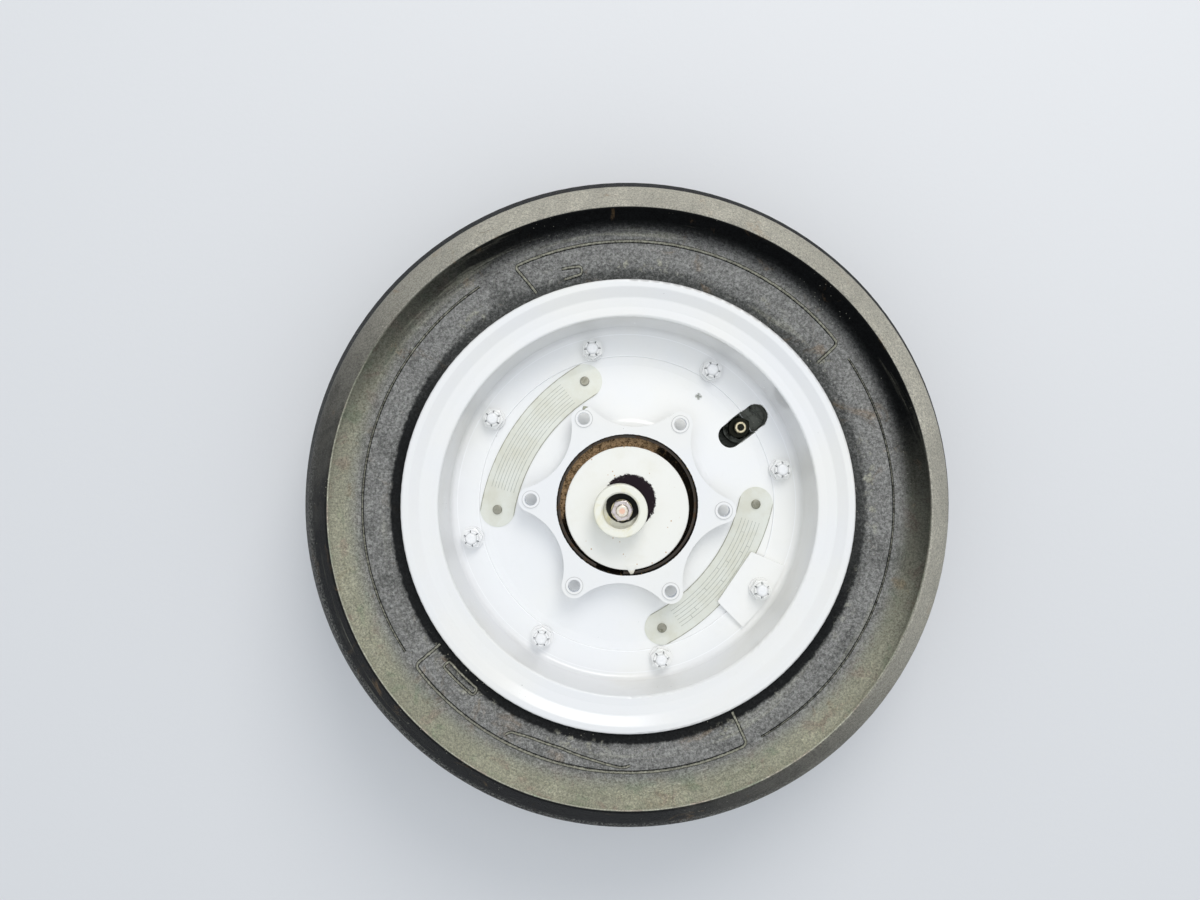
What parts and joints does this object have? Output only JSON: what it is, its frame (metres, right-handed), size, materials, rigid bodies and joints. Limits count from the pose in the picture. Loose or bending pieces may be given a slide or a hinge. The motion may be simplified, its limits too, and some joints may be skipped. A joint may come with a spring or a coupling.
{
  "type": "aircraft wheel",
  "caption": "Split aircraft nose wheel with a chined tyre, eared hub flange, tapered roller bearings and a clamped hub core; the core spins freely in the wheel",
  "frame": {"origin": "centre of the wheel: on its axis, in the plane where the two halves meet", "axes": "+Z is the wheel's axis and points out of the side with the tie nuts and the eared flange; +X and +Y lie in the plane of the wheel"},
  "size_m": [0.4399, 0.44, 0.152],
  "materials": {
    "tyre": "worn dusty black rubber with fine moulded lines",
    "outer_half_paint": "gloss white enamel over forged light alloy",
    "inner_half_paint": "gloss white enamel over forged light alloy",
    "seal_rubber": "black moulded rubber",
    "bolt_steel": "plated steel, painted over with white",
    "nut_paint": "plated steel, painted over with white",
    "washer_paint": "plated steel, painted over with white",
    "weight_paint": "white painted steel plate",
    "plate_metal": "thin etched aluminium, grey green, left blank",
    "rivet_metal": "dull aluminium",
    "plug_paint": "white paint over a small threaded plug",
    "bushing_steel": "steel, painted over on its face",
    "valve_brass": "dull brass",
    "bearing_steel": "ground bearing steel with grease",
    "cage_steel": "pressed steel",
    "felt": "oil soaked brown felt",
    "ring_steel": "black spring steel",
    "disc_paint": "white painted alloy disc",
    "collar_paint": "cream white paint over cadmium plate",
    "cadmium": "yellow cadmium plate",
    "hub_bolt_steel": "cadmium plate, bare coppery end"
  },
  "bodies": {
    "wheel": {"tyre": "tyre", "outer_wheel_half": "outer_half_paint", "inner_wheel_half": "inner_half_paint", "rim_seal_ring": "seal_rubber", "valve_gasket": "seal_rubber", "tie_bolts": "bolt_steel", "tie_nuts": "nut_paint", "tie_bolt_washers": "washer_paint", "tie_nut_washers": "washer_paint", "balance_weight": "weight_paint", "upper_nameplate": "plate_metal", "lower_nameplate": "plate_metal", "nameplate_rivets": "rivet_metal", "web_plug": "plug_paint", "flange_bushings": "bushing_steel", "valve_stem": "valve_brass", "valve_core": "valve_brass", "upper_bearing_cup": "bearing_steel", "lower_bearing_cup": "bearing_steel", "upper_felt_seal": "felt", "lower_felt_seal": "felt", "upper_retaining_ring": "ring_steel", "lower_retaining_ring": "ring_steel"},
    "hub_core": {"upper_bearing_cone": "bearing_steel", "lower_bearing_cone": "bearing_steel", "upper_hub_disc": "disc_paint", "lower_hub_disc": "disc_paint", "hub_collar": "collar_paint", "hub_washer": "cadmium", "hub_nut": "cadmium", "plain_washer": "cadmium", "hub_bolt": "hub_bolt_steel"},
    "upper_roller_set": {"upper_bearing_rollers": "bearing_steel", "upper_bearing_cage": "cage_steel"},
    "lower_roller_set": {"lower_bearing_rollers": "bearing_steel", "lower_bearing_cage": "cage_steel"},
    "valve_pin": {"valve_pin": "valve_brass"}
  },
  "joints": [
    {"name": "hub_spin", "type": "hinge", "parent": "wheel", "child": "hub_core", "pos_m": [0, 0, 0], "axis": [0, 0, 1], "continuous": true},
    {"name": "upper_rollers_orbit", "type": "hinge", "parent": "wheel", "child": "upper_roller_set", "pos_m": [0, 0, 0.0146], "axis": [0, 0, 1], "continuous": true},
    {"name": "lower_rollers_orbit", "type": "hinge", "parent": "wheel", "child": "lower_roller_set", "pos_m": [0, 0, -0.0146], "axis": [0, 0, 1], "continuous": true},
    {"name": "valve_pin_press", "type": "slide", "parent": "wheel", "child": "valve_pin", "axis": [0, 0, -1], "range_m": [0, 0.0008], "stiffness_N_per_m": 2000}
  ],
  "couplings": [
    {"joint": "upper_rollers_orbit", "follows": "hub_spin", "ratio": 0.4407},
    {"joint": "lower_rollers_orbit", "follows": "hub_spin", "ratio": 0.4407}
  ]
}
